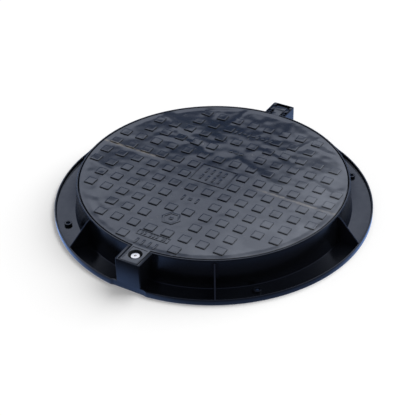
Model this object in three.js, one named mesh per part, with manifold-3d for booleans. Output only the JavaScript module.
// Round plastic manhole cover in its flanged frame, with a hinge on +Y and a quarter-turn lock on -Y.
// Millimetres, +Z up, origin at the centre of the frame's underside.
import * as THREE from "three";
import { mergeVertices } from "three/addons/utils/BufferGeometryUtils.js";
import Module from "manifold-3d";

const wasm = await Module();
wasm.setup();

// Driving dimensions
const roundSteps = 72;
const height = 75.5; // rim and cover plate, above the ground
const flange = { radius: 375, floor: 5.5, lipTop: 14, lipWidth: 3.5 };
const wall = { rimRadius: 319, rimFoot: 70, footRadius: 325.5, footTop: 9, bore: 315.5, thickness: 4 };
const seat = { radius: 292, top: 50, underside: 44, grooveIn: 302.7, grooveOut: 311.3, grooveDepth: 1.5 };
const gusset = { count: 6, thickness: 4, top: 69, topRadius: 323 };
const bracket = { count: 12, thickness: 4, foot: 14 };
const anchor = { count: 4, circle: 348, radius: 9, bore: 5, top: 11.5 };
const cutout = { half: 38, slant: 7, face: 370 }; // where the flange edge steps in at each lug
const lockLug = { half: 31, cavityHalf: 25, wallFace: 366.8, corner: 3 };
const hingeLug = { half: 28.5, cavityHalf: 25.5, wallFace: 367.5, corner: 5 };
const cover = { radius: 313, plate: 6, skirtFoot: 54.3, skirtWidth: 6, ribFoot: 58, ribWidth: 5, ribCount: 12 };
const coverWeb = { rings: [100, 205], hubInner: 24, hubOuter: 30 };
const stud = { pitch: 43.8, size: 23.5, rise: 2.5 };
const mark = { rise: 1.2, panelX: 47, panelY: 36, line: 3, plateX: 40, plateFrom: -274, plateTo: -256 };
const tab = { half: 22.7, end: 366, border: 4.3, panelDepth: 1, panelFrom: 318, corner: 2.5 };
const lock = { y: -337, recessRadius: 16, recessFloor: 60, tubeRadius: 10, shaftRadius: 7, headRadius: 10, headTop: 71 };
const spindle = { foot: 24, thread: 4, neck: 4.9, squareTop: 45.2, grooveFoot: 56.8, grooveTop: 59.6, socket: 2.2 };
const nut = { across: 7.5, foot: 27, top: 33.4, bore: 4.4 };
const pawl = { foot: 36.5, top: 44.5, reach: 22, halfWidth: 8, square: 5 };
const keeper = { foot: 46, top: 50, inner: 350, screwX: 19.5, screwY: 360.5 };
const screw = { shank: 1.7, foot: 32, head: 3.6, rise: 2.4, slot: 0.4, postRadius: 5, pilot: 2 };
const hinge = { y: 344.5, z: 66, pinRadius: 4, pinHalf: 25.2, barrelRadius: 9.3, armHalf: 14.2, armFrom: 335, armEnd: 363 };
const neck = { half: 11.2, foot: 60, top: 74, slotFoot: 58, slotEnd: 336 };
const crown = { radius: 36, y: 349 }; // the rounded top of the hinge arm
const hingeWeb = { corner: 19, cornerFrom: 355.5, long: [17.4, 19.6], longEnd: 335, cross: [325, 327.2] };
const cap = { inner: 14.8, outer: 23.6, from: 335.5, to: 353.5, top: 75.2, legFoot: 52, legWidth: 2.1 };
const gap = 0.3; // left between pieces that touch

// Shapes
function solidOf(geometry) {
  const bare = geometry.clone();
  bare.deleteAttribute("normal");
  bare.deleteAttribute("uv");
  const merged = mergeVertices(bare, 1e-4);
  const mesh = new wasm.Mesh({
    numProp: 3,
    vertProperties: new Float32Array(merged.attributes.position.array),
    triVerts: new Uint32Array(merged.index.array),
  });
  return new wasm.Manifold(mesh);
}

function box(x0, x1, y0, y1, z0, z1) {
  const geometry = new THREE.BoxGeometry(x1 - x0, y1 - y0, z1 - z0);
  return solidOf(geometry.translate((x0 + x1) / 2, (y0 + y1) / 2, (z0 + z1) / 2));
}

// A closed profile of [radius, height] points turned about Z, given in either direction.
function turned(profile, steps = roundSteps) {
  const area = profile.reduce((sum, [r, z], i) => {
    const [nextR, nextZ] = profile[(i + 1) % profile.length];
    return sum + r * nextZ - nextR * z;
  }, 0);
  const points = (area > 0 ? profile : [...profile].reverse()).map(([r, z]) => new THREE.Vector2(r, z));
  if (!profile.some(([r]) => r === 0)) points.push(points[0].clone());
  return solidOf(new THREE.LatheGeometry(points, steps).rotateX(Math.PI / 2));
}

// A solid profile whose first and last points are on the axis.
function turnedSolid(profile, steps = roundSteps) {
  return turned([[0, profile[0][1]], ...profile, [0, profile.at(-1)[1]]], steps);
}

function ring(inner, outer, z0, z1, steps = roundSteps) {
  return turned([[inner, z0], [outer, z0], [outer, z1], [inner, z1]], steps);
}

function rod(radius, z0, z1, steps = 24) {
  return turnedSolid([[radius, z0], [radius, z1]], steps);
}

// A flat outline of [x, y] points raised from z0 to z1.
function prism(points, z0, z1) {
  const shape = new THREE.Shape(points.map(([x, y]) => new THREE.Vector2(x, y)));
  const geometry = new THREE.ExtrudeGeometry(shape, { depth: z1 - z0, bevelEnabled: false });
  return solidOf(geometry.translate(0, 0, z0));
}

// A rectangle whose two far corners, on the outer side, are rounded.
function lugPrism(half, y0, y1, corner, z0, z1) {
  const outward = Math.sign(y1 - y0);
  const points = [[-half, y0]];
  for (const side of [-1, 1]) {
    for (let step = 0; step <= 4; step++) {
      const angle = (side < 0 ? step : 4 - step) * (Math.PI / 8);
      const x = side * (half - corner + corner * Math.cos(angle));
      points.push([x, y1 - outward * corner * (1 - Math.sin(angle))]);
    }
  }
  points.push([half, y0]);
  return prism(outward > 0 ? points.reverse() : points, z0, z1);
}

// A radial plate of the outline [radius, height], centred on the given angle.
function radialPlate(outline, thickness, angle) {
  const shape = new THREE.Shape(outline.map(([r, z]) => new THREE.Vector2(r, z)));
  const geometry = new THREE.ExtrudeGeometry(shape, { depth: thickness, bevelEnabled: false });
  geometry.translate(0, 0, -thickness / 2).rotateX(Math.PI / 2).rotateZ(angle);
  return solidOf(geometry);
}

function rodAlongX(radius, x0, x1, y, z, steps = 24) {
  const geometry = new THREE.CylinderGeometry(radius, radius, x1 - x0, steps).rotateZ(Math.PI / 2);
  return solidOf(geometry.translate((x0 + x1) / 2, y, z));
}

const joined = (solids) => solids.reduce((sum, solid) => sum.add(solid));
const around = (count, start = 0) => Array.from({ length: count }, (_, i) => start + (i * 2 * Math.PI) / count);

// Frame: flange with an upturned lip, flared wall, cover seat, gussets, anchor bosses and the two lugs
function frameBody() {
  return turned([
    [wall.footRadius - wall.thickness, 0],
    [flange.radius, 0],
    [flange.radius, flange.lipTop],
    [flange.radius - flange.lipWidth, flange.lipTop],
    [flange.radius - flange.lipWidth, flange.floor],
    [wall.footRadius + 2.5, flange.floor],
    [wall.footRadius + 0.6, flange.floor + 1.2],
    [wall.footRadius, wall.footTop],
    [wall.rimRadius, wall.rimFoot],
    [wall.rimRadius, height],
    [wall.bore, height],
    [wall.bore, seat.top],
    [seat.grooveOut, seat.top],
    [seat.grooveOut, seat.top - seat.grooveDepth],
    [seat.grooveIn, seat.top - seat.grooveDepth],
    [seat.grooveIn, seat.top],
    [seat.radius, seat.top],
    [seat.radius, seat.underside],
    [wall.rimRadius - 1.5, seat.underside],
    [wall.footRadius - wall.thickness, flange.floor],
  ]);
}

function gussets() {
  const edgeRadius = flange.radius - 1;
  const outline = [
    [wall.rimRadius - 2, flange.floor - 1],
    [edgeRadius, flange.floor - 1],
    [edgeRadius, flange.lipTop],
    [gusset.topRadius + 5, gusset.top - 6],
    [gusset.topRadius + 2.6, gusset.top - 2.2],
    [gusset.topRadius, gusset.top],
    [wall.rimRadius - 2, gusset.top],
  ];
  return around(gusset.count).map((angle) => radialPlate(outline, gusset.thickness, angle));
}

function seatBrackets() {
  const outline = [
    [seat.radius + 2, seat.underside + 1],
    [wall.rimRadius, bracket.foot],
    [wall.rimRadius, seat.underside + 1],
  ];
  return around(bracket.count, Math.PI / 12).map((angle) => radialPlate(outline, bracket.thickness, angle));
}

// Everything inside the wall up to a height, so that a lug's cavity can stop against the wall.
function drum(top) {
  const share = (wall.rimFoot - top) / (wall.rimFoot - wall.footTop);
  const topRadius = wall.rimRadius + share * (wall.footRadius - wall.rimRadius);
  return turnedSolid([[wall.footRadius, -1], [wall.footRadius, wall.footTop], [topRadius, top]]);
}

// The flange edge steps in to a straight chord at a lug, and its lip follows the step.
function chordOutline(side, inset) {
  const outer = cutout.half + cutout.slant;
  const edge = Math.sqrt(flange.radius ** 2 - outer ** 2) - inset;
  const face = cutout.face - inset;
  return [[-outer, edge], [-cutout.half, face], [cutout.half, face], [outer, edge]].map(([x, y]) => [x, side * y]);
}

function chordCut(side) {
  const beyond = [[60, side * 400], [-60, side * 400]];
  const outline = [...chordOutline(side, 0), ...beyond];
  return prism(side > 0 ? outline : outline.reverse(), -1, flange.lipTop + 1);
}

function chordLip(side) {
  const outline = [...chordOutline(side, 0), ...chordOutline(side, flange.lipWidth).reverse()];
  return prism(side > 0 ? outline.reverse() : outline, 0, flange.lipTop);
}

function lockLugWalls() {
  const shell = lugPrism(lockLug.half, -wall.bore - 3, -cutout.face, lockLug.corner, 0, height);
  return shell.subtract(drum(seat.top).subtract(ring(wall.bore + 1, 400, -2, 100)));
}

function lockCavity() {
  const hollow = box(-lockLug.cavityHalf, lockLug.cavityHalf, -lockLug.wallFace, -300, flange.floor, height + 1);
  return hollow.subtract(drum(seat.top));
}

function keeperPosts() {
  return [-1, 1].map((side) => {
    const post = rod(screw.postRadius, flange.floor - 1, keeper.foot - gap);
    const pilot = rod(screw.pilot, screw.foot - 2, keeper.top);
    return post.subtract(pilot).translate([side * keeper.screwX, -keeper.screwY, 0]);
  });
}

function hingeCavity() {
  const from = wall.rimRadius - 1;
  const hollow = box(-hingeLug.cavityHalf, hingeLug.cavityHalf, from, hingeLug.wallFace, flange.floor, height + 1);
  return hollow.subtract(drum(neck.slotFoot)).subtract(ring(wall.bore - 1, wall.rimRadius, -2, 100));
}

function hingeInside() {
  const pieces = [];
  for (const side of [-1, 1]) {
    const across = (a, b) => (side > 0 ? [a, b] : [-b, -a]);
    const [blockX0, blockX1] = across(hingeWeb.corner, hingeLug.half - 1);
    const [longX0, longX1] = across(...hingeWeb.long);
    const [crossX0, crossX1] = across(neck.half + 2 * gap, hingeLug.half - 1);
    const [saddleX0, saddleX1] = across(cap.inner + gap, hingeLug.half - 1);
    const saddle = box(saddleX0, saddleX1, cap.from + 2.5, cap.to - 2.5, flange.floor - 1, hinge.z);
    pieces.push(box(blockX0, blockX1, hingeWeb.cornerFrom, hingeLug.wallFace + 1, flange.floor - 1, height));
    pieces.push(box(longX0, longX1, wall.rimRadius - 2, hingeWeb.longEnd, flange.floor - 1, height));
    pieces.push(box(crossX0, crossX1, ...hingeWeb.cross, flange.floor - 1, height));
    pieces.push(saddle.subtract(rodAlongX(hinge.pinRadius + gap, -40, 40, hinge.y, hinge.z)));
  }
  return pieces;
}

function makeFrame() {
  let solid = joined([frameBody(), ...gussets(), ...seatBrackets()]);
  solid = solid.subtract(chordCut(1)).subtract(chordCut(-1)).add(chordLip(1)).add(chordLip(-1));
  solid = solid.add(lockLugWalls()).subtract(lockCavity()).add(joined(keeperPosts()));
  const hingeShell = lugPrism(hingeLug.half, wall.rimRadius - 2, cutout.face, hingeLug.corner, 0, height);
  solid = solid.add(hingeShell).subtract(hingeCavity()).add(joined(hingeInside()));
  const slotHalf = neck.half + 2 * gap;
  solid = solid.subtract(box(-slotHalf, slotHalf, seat.radius, neck.slotEnd, neck.slotFoot, height + 1));
  for (const angle of around(anchor.count, Math.PI / 4)) {
    const [x, y] = [anchor.circle * Math.cos(angle), anchor.circle * Math.sin(angle)];
    solid = solid.add(rod(anchor.radius, flange.floor - 1, anchor.top, 24).translate([x, y, 0]));
    solid = solid.subtract(rod(anchor.bore, -1, anchor.top + 1, 24).translate([x, y, 0]));
  }
  return solid;
}

// Cover: studded plate with a skirt and ribs below, the lock tab and the hinge arm
const studRows = [
  { row: 0, first: 1, last: 6 },
  { row: 1, first: 0, last: 6 },
  { row: 2, first: 1, last: 5 },
  { row: 3, first: 0, last: 5 },
  { row: 4, first: 1, last: 3 },
  { row: 5, first: 0, last: 3 },
];

function studAt(x, y) {
  const half = stud.size / 2;
  return box(x - half, x + half, y - half, y + half, height - 1, height + stud.rise);
}

function studs() {
  const place = (index) => (index + 0.5) * stud.pitch;
  const found = [studAt(place(1), -place(6)), studAt(-place(1), -place(6))];
  for (const { row, first, last } of studRows) {
    for (let column = first; column <= last; column++) {
      for (const [sx, sy] of [[1, 1], [-1, 1], [1, -1], [-1, -1]]) {
        found.push(studAt(sx * place(column), sy * place(row)));
      }
    }
  }
  return found;
}

function coverShell() {
  const inner = cover.radius - cover.skirtWidth;
  return turnedSolid([
    [inner, height - cover.plate],
    [inner, cover.skirtFoot],
    [cover.radius, cover.skirtFoot],
    [cover.radius, height],
  ]);
}

function coverRibs() {
  const top = height - cover.plate + 0.5;
  const half = cover.ribWidth / 2;
  const spokes = around(cover.ribCount).map((angle) => {
    const geometry = new THREE.BoxGeometry(cover.radius - coverWeb.hubOuter, cover.ribWidth, top - cover.ribFoot);
    geometry.translate((cover.radius + coverWeb.hubInner) / 2, 0, (top + cover.ribFoot) / 2).rotateZ(angle);
    return solidOf(geometry);
  });
  const rings = coverWeb.rings.map((r) => ring(r - half, r + half, cover.ribFoot, top, 48));
  return [...spokes, ...rings, ring(coverWeb.hubInner, coverWeb.hubOuter, cover.skirtFoot, top, 24)];
}

function lockTab() {
  const panelHalf = tab.half - tab.border;
  const block = lugPrism(tab.half, -cover.radius + 10, -tab.end, tab.corner, cover.skirtFoot, height);
  const panelEnd = tab.end - tab.border;
  return block.subtract(box(-panelHalf, panelHalf, -panelEnd, -tab.panelFrom, height - tab.panelDepth, height + 1));
}

function lockBore() {
  const recess = rod(lock.recessRadius, lock.recessFloor, height + 1, 36);
  return recess.add(rod(lock.tubeRadius + gap, 40, height)).translate([0, lock.y, 0]);
}

function hingeArm() {
  const armNeck = box(-neck.half, neck.half, seat.radius + 8, hinge.armFrom + 1, neck.foot, neck.top);
  const barrel = rodAlongX(hinge.barrelRadius, -hinge.armHalf, hinge.armHalf, hinge.y, hinge.z, 32);
  const nose = box(-hinge.armHalf, hinge.armHalf, hinge.armFrom, hinge.armEnd, hinge.z + 2, height)
    .intersect(rodAlongX(crown.radius, -40, 40, crown.y, height - crown.radius, 96));
  const web = box(-neck.half, neck.half, hinge.armFrom - 1, hinge.y, neck.foot, hinge.z + 4);
  return joined([armNeck, web, barrel, nose]).subtract(rodAlongX(hinge.pinRadius + gap, -40, 40, hinge.y, hinge.z));
}

function coverMarks() {
  const raised = (x, y0, y1) => box(-x, x, y0, y1, height - 1, height + mark.rise);
  const [x, y] = [mark.panelX - mark.line, mark.panelY - mark.line];
  const inside = box(-x, x, -y, y, height - 2, height + 2);
  const border = raised(mark.panelX, -mark.panelY, mark.panelY).subtract(inside);
  return [border, raised(mark.plateX, mark.plateFrom, mark.plateTo)];
}

function makeCover() {
  const solid = joined([coverShell(), ...coverRibs(), ...studs(), ...coverMarks(), lockTab(), hingeArm()]);
  return solid.subtract(lockBore());
}

// Small pieces
function makeSeal() {
  const foot = seat.top - seat.grooveDepth + gap;
  const [inner, outer, crown] = [seat.grooveIn + gap, seat.grooveOut - gap, cover.skirtFoot - gap];
  return turned([[inner, foot], [outer, foot], [outer - 1, crown], [inner + 1, crown]]);
}

function makeHingePin() {
  return rodAlongX(hinge.pinRadius, -hinge.pinHalf, hinge.pinHalf, hinge.y, hinge.z, 24);
}

function makeHingeCap(side) {
  const [x0, x1] = side > 0 ? [cap.inner, cap.outer] : [-cap.outer, -cap.inner];
  const block = box(x0, x1, cap.from, cap.to, cap.legFoot, cap.top);
  const straddle = box(x0 - 1, x1 + 1, cap.from + cap.legWidth, cap.to - cap.legWidth, cap.legFoot - 1, hinge.z + gap);
  return block.subtract(straddle).subtract(rodAlongX(hinge.pinRadius + gap, -40, 40, hinge.y, hinge.z));
}

function makeLockBush() {
  const [tube, bore, foot] = [lock.tubeRadius, lock.shaftRadius + gap, cover.skirtFoot + 0.3];
  const [under, top, brim] = [lock.recessFloor + gap, lock.recessFloor + 2.3, lock.recessRadius - 1.5];
  return turned([[bore, foot], [tube, foot], [tube, under], [brim, under], [brim, top], [bore, top]], 24);
}

function makeLockWasher() {
  const foot = lock.recessFloor + 2.6;
  return ring(lock.shaftRadius + gap, lock.headRadius - 0.4, foot, foot + 1.5, 24);
}

function makeLockSpindle() {
  const [shaft, head, underHead] = [lock.shaftRadius, lock.headRadius, lock.recessFloor + 4.4];
  const squareFoot = pawl.foot - 0.5;
  const turnedBody = turnedSolid([
    [spindle.thread, spindle.foot], [spindle.thread, squareFoot],
    [spindle.neck, squareFoot], [spindle.neck, spindle.squareTop],
    [shaft, spindle.squareTop], [shaft, spindle.grooveFoot],
    [shaft - 1.5, spindle.grooveFoot], [shaft - 1.5, spindle.grooveTop],
    [shaft, spindle.grooveTop], [shaft, underHead],
    [head, underHead], [head, lock.headTop - 0.8], [head - 0.8, lock.headTop],
  ], 24);
  const [side, squareTop] = [pawl.square, spindle.squareTop + 0.1];
  const square = box(-side, side, -side, side, squareFoot, squareTop);
  return turnedBody.add(square).subtract(rod(spindle.socket, lock.headTop - 4, lock.headTop + 1, 12));
}

function makeLockOring() {
  const [middle, centre, half] = [6.5, (spindle.grooveFoot + spindle.grooveTop) / 2, 0.6];
  const section = around(6).map((angle) => [middle + half * Math.cos(angle), centre + half * Math.sin(angle)]);
  return turned(section, 24);
}

function makeLockPawl() {
  const hub = rod(pawl.halfWidth + 2, pawl.foot, pawl.top, 32);
  const arm = box(0, pawl.reach, -pawl.halfWidth, pawl.halfWidth, pawl.foot, pawl.top);
  const clear = pawl.square + gap;
  return hub.add(arm).subtract(box(-clear, clear, -clear, clear, pawl.foot - 1, pawl.top + 1));
}

function makeLockSpringWasher() {
  const [inner, outer, foot, dish, thick] = [nut.bore, 9, nut.top + gap, 0.8, 1.2];
  return turned([[inner, foot + dish], [outer, foot], [outer, foot + thick], [inner, foot + dish + thick]], 32);
}

function makeLockNut() {
  return rod(nut.across, nut.foot, nut.top, 6).subtract(rod(nut.bore, nut.foot - 1, nut.top + 1));
}

function makeKeeperPlate() {
  const half = lockLug.cavityHalf - 0.5;
  const holeRadius = screw.shank + 2 * gap;
  const hole = (side) => rod(holeRadius, keeper.foot - 1, keeper.top + 1)
    .translate([side * keeper.screwX, -keeper.screwY, 0]);
  const plate = box(-half, half, -lockLug.wallFace + 0.4, -keeper.inner, keeper.foot, keeper.top);
  return plate.subtract(hole(-1)).subtract(hole(1));
}

function makeKeeperScrew(side) {
  const [headFoot, headTop] = [keeper.top + gap, keeper.top + screw.rise];
  const [arm, low, high] = [screw.head - 1.6, headTop - 1, headTop + 1];
  const body = turnedSolid([
    [screw.shank, screw.foot], [screw.shank, headFoot],
    [screw.head, headFoot], [screw.head, headTop - 0.6], [screw.head - 0.6, headTop],
  ], 16);
  const cross = box(-arm, arm, -screw.slot, screw.slot, low, high)
    .add(box(-screw.slot, screw.slot, -arm, arm, low, high));
  return body.subtract(cross).translate([side * keeper.screwX, -keeper.screwY, 0]);
}

// Materials
const mouldedPlastic = { color: 0x2b3038, roughness: 0.38, metalness: 0 };
const finishes = {
  frame: mouldedPlastic,
  cover: { color: 0x343a43, roughness: 0.45, metalness: 0 },
  rubber: { color: 0x17181a, roughness: 0.85, metalness: 0 },
  steel: { color: 0xb4b8bc, roughness: 0.35, metalness: 1 },
  brightSteel: { color: 0xe8eaec, roughness: 0.22, metalness: 1 },
  acetal: { color: 0x101113, roughness: 0.55, metalness: 0 },
};

const group = new THREE.Group();

function addPiece(name, solid, finish) {
  const { vertProperties, triVerts } = solid.getMesh();
  const geometry = new THREE.BufferGeometry();
  geometry.setAttribute("position", new THREE.BufferAttribute(vertProperties, 3));
  geometry.setIndex(new THREE.BufferAttribute(triVerts, 1));
  geometry.computeVertexNormals();
  const mesh = new THREE.Mesh(geometry, new THREE.MeshStandardMaterial(finishes[finish]));
  mesh.name = name;
  group.add(mesh);
  return mesh;
}

addPiece("frame", makeFrame(), "frame");
addPiece("cover", makeCover(), "cover");
addPiece("cover_seal", makeSeal(), "rubber");
addPiece("hinge_pin", makeHingePin(), "steel");
addPiece("hinge_cap_left", makeHingeCap(-1), "frame");
addPiece("hinge_cap_right", makeHingeCap(1), "frame");
addPiece("keeper_plate", makeKeeperPlate(), "steel");
addPiece("keeper_screw_left", makeKeeperScrew(-1), "steel");
addPiece("keeper_screw_right", makeKeeperScrew(1), "steel");

const lockPieces = {
  lock_bush: [makeLockBush(), "acetal"],
  lock_washer: [makeLockWasher(), "steel"],
  lock_spindle: [makeLockSpindle(), "brightSteel"],
  lock_oring: [makeLockOring(), "rubber"],
  lock_pawl: [makeLockPawl(), "steel"],
  lock_spring_washer: [makeLockSpringWasher(), "steel"],
  lock_nut: [makeLockNut(), "steel"],
};
for (const [name, [solid, finish]] of Object.entries(lockPieces)) {
  addPiece(name, solid, finish).position.y = lock.y;
}

export default group;
